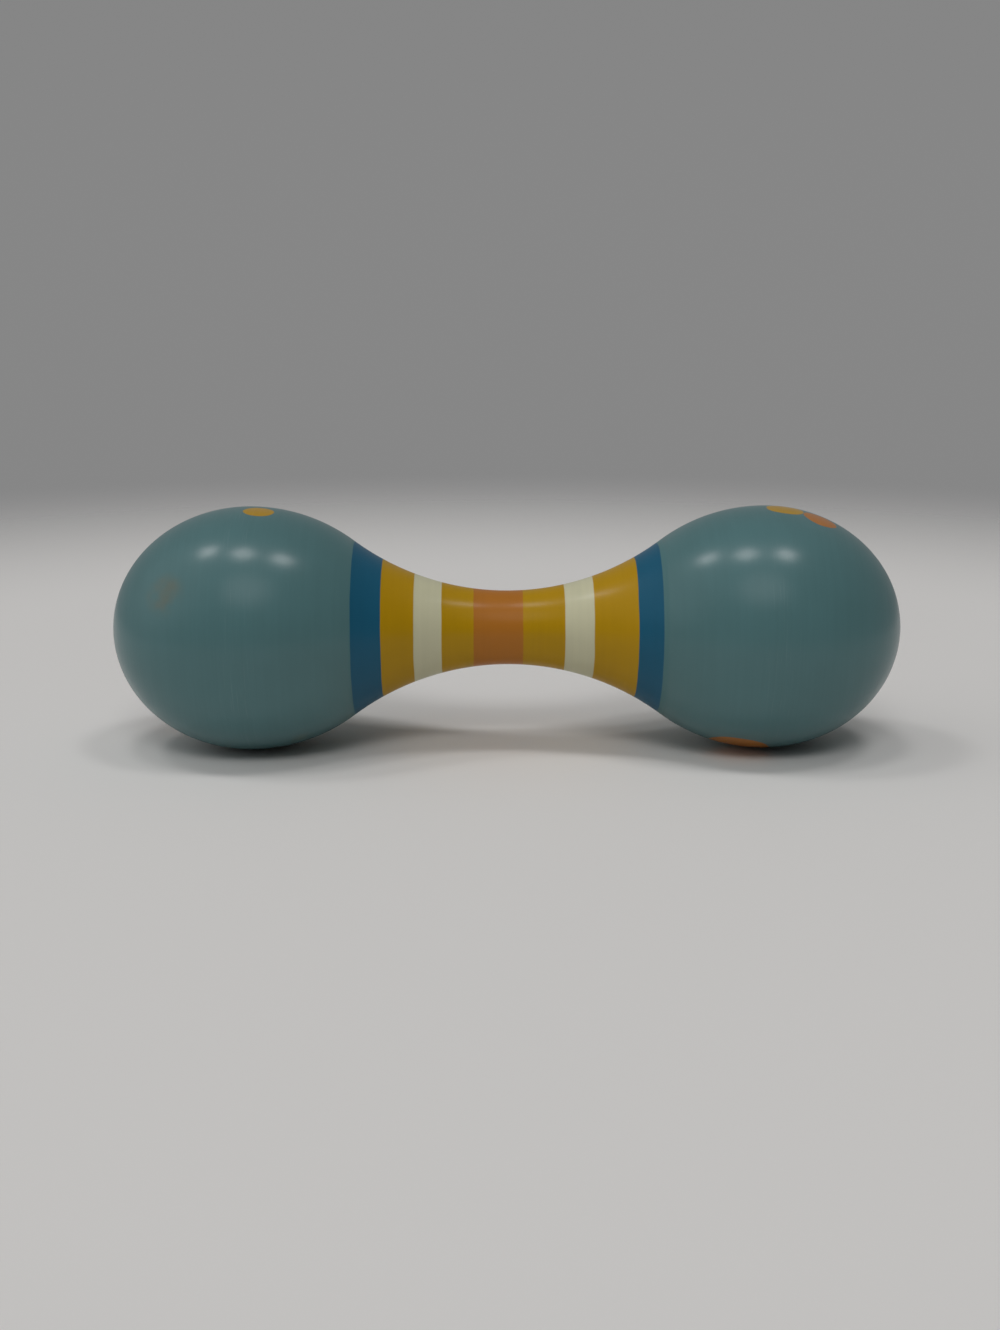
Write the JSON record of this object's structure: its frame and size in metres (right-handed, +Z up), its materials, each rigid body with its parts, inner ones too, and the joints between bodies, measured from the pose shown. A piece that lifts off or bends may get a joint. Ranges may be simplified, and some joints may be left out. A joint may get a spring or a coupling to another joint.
{
  "type": "wooden baby rattle",
  "caption": "Turned wooden baby rattle with a hollow egg-shaped head at each end of a waisted, striped handle, and loose pellets that sound in the heads when it is shaken.",
  "frame": {"origin": "on the resting surface, under the middle of the rattle, which lies on its two heads", "axes": "+X along the rattle to the right head, +Z up, -Y towards the viewer"},
  "size_m": [0.1454, 0.045, 0.045],
  "materials": {
    "painted_head": "dull teal satin paint on turned wood",
    "striped_handle": "striped satin paint on turned wood, mostly mustard",
    "pellet_steel": "plain steel ball"
  },
  "bodies": {
    "rattle": {"handle": "striped_handle", "left_head_cup": "painted_head", "left_head_dome": "painted_head", "right_head_cup": "painted_head", "right_head_dome": "painted_head"},
    "left_pellet_1": {"left_pellet_1": "pellet_steel"},
    "left_pellet_2": {"left_pellet_2": "pellet_steel"},
    "left_pellet_3": {"left_pellet_3": "pellet_steel"},
    "left_pellet_4": {"left_pellet_4": "pellet_steel"},
    "left_pellet_5": {"left_pellet_5": "pellet_steel"},
    "left_pellet_6": {"left_pellet_6": "pellet_steel"},
    "left_pellet_7": {"left_pellet_7": "pellet_steel"},
    "left_pellet_8": {"left_pellet_8": "pellet_steel"},
    "right_pellet_1": {"right_pellet_1": "pellet_steel"},
    "right_pellet_2": {"right_pellet_2": "pellet_steel"},
    "right_pellet_3": {"right_pellet_3": "pellet_steel"},
    "right_pellet_4": {"right_pellet_4": "pellet_steel"},
    "right_pellet_5": {"right_pellet_5": "pellet_steel"},
    "right_pellet_6": {"right_pellet_6": "pellet_steel"},
    "right_pellet_7": {"right_pellet_7": "pellet_steel"},
    "right_pellet_8": {"right_pellet_8": "pellet_steel"}
  },
  "joints": [
    {"name": "left_pellet_1_slide", "type": "slide", "parent": "rattle", "child": "left_pellet_1", "axis": [0, 0, 1], "range_m": [0, 0.0265]},
    {"name": "left_pellet_2_slide", "type": "slide", "parent": "rattle", "child": "left_pellet_2", "axis": [0, 0, 1], "range_m": [0, 0.0278]},
    {"name": "left_pellet_3_slide", "type": "slide", "parent": "rattle", "child": "left_pellet_3", "axis": [0, 0, 1], "range_m": [0, 0.0263]},
    {"name": "left_pellet_4_slide", "type": "slide", "parent": "rattle", "child": "left_pellet_4", "axis": [0, 0, 1], "range_m": [0, 0.029]},
    {"name": "left_pellet_5_slide", "type": "slide", "parent": "rattle", "child": "left_pellet_5", "axis": [0, 0, 1], "range_m": [0, 0.029]},
    {"name": "left_pellet_6_slide", "type": "slide", "parent": "rattle", "child": "left_pellet_6", "axis": [0, 0, 1], "range_m": [0, 0.0265]},
    {"name": "left_pellet_7_slide", "type": "slide", "parent": "rattle", "child": "left_pellet_7", "axis": [0, 0, 1], "range_m": [0, 0.0278]},
    {"name": "left_pellet_8_slide", "type": "slide", "parent": "rattle", "child": "left_pellet_8", "axis": [0, 0, 1], "range_m": [0, 0.0263]},
    {"name": "right_pellet_1_slide", "type": "slide", "parent": "rattle", "child": "right_pellet_1", "axis": [0, 0, 1], "range_m": [0, 0.0265]},
    {"name": "right_pellet_2_slide", "type": "slide", "parent": "rattle", "child": "right_pellet_2", "axis": [0, 0, 1], "range_m": [0, 0.0278]},
    {"name": "right_pellet_3_slide", "type": "slide", "parent": "rattle", "child": "right_pellet_3", "axis": [0, 0, 1], "range_m": [0, 0.0263]},
    {"name": "right_pellet_4_slide", "type": "slide", "parent": "rattle", "child": "right_pellet_4", "axis": [0, 0, 1], "range_m": [0, 0.029]},
    {"name": "right_pellet_5_slide", "type": "slide", "parent": "rattle", "child": "right_pellet_5", "axis": [0, 0, 1], "range_m": [0, 0.029]},
    {"name": "right_pellet_6_slide", "type": "slide", "parent": "rattle", "child": "right_pellet_6", "axis": [0, 0, 1], "range_m": [0, 0.0265]},
    {"name": "right_pellet_7_slide", "type": "slide", "parent": "rattle", "child": "right_pellet_7", "axis": [0, 0, 1], "range_m": [0, 0.0278]},
    {"name": "right_pellet_8_slide", "type": "slide", "parent": "rattle", "child": "right_pellet_8", "axis": [0, 0, 1], "range_m": [0, 0.0263]}
  ]
}
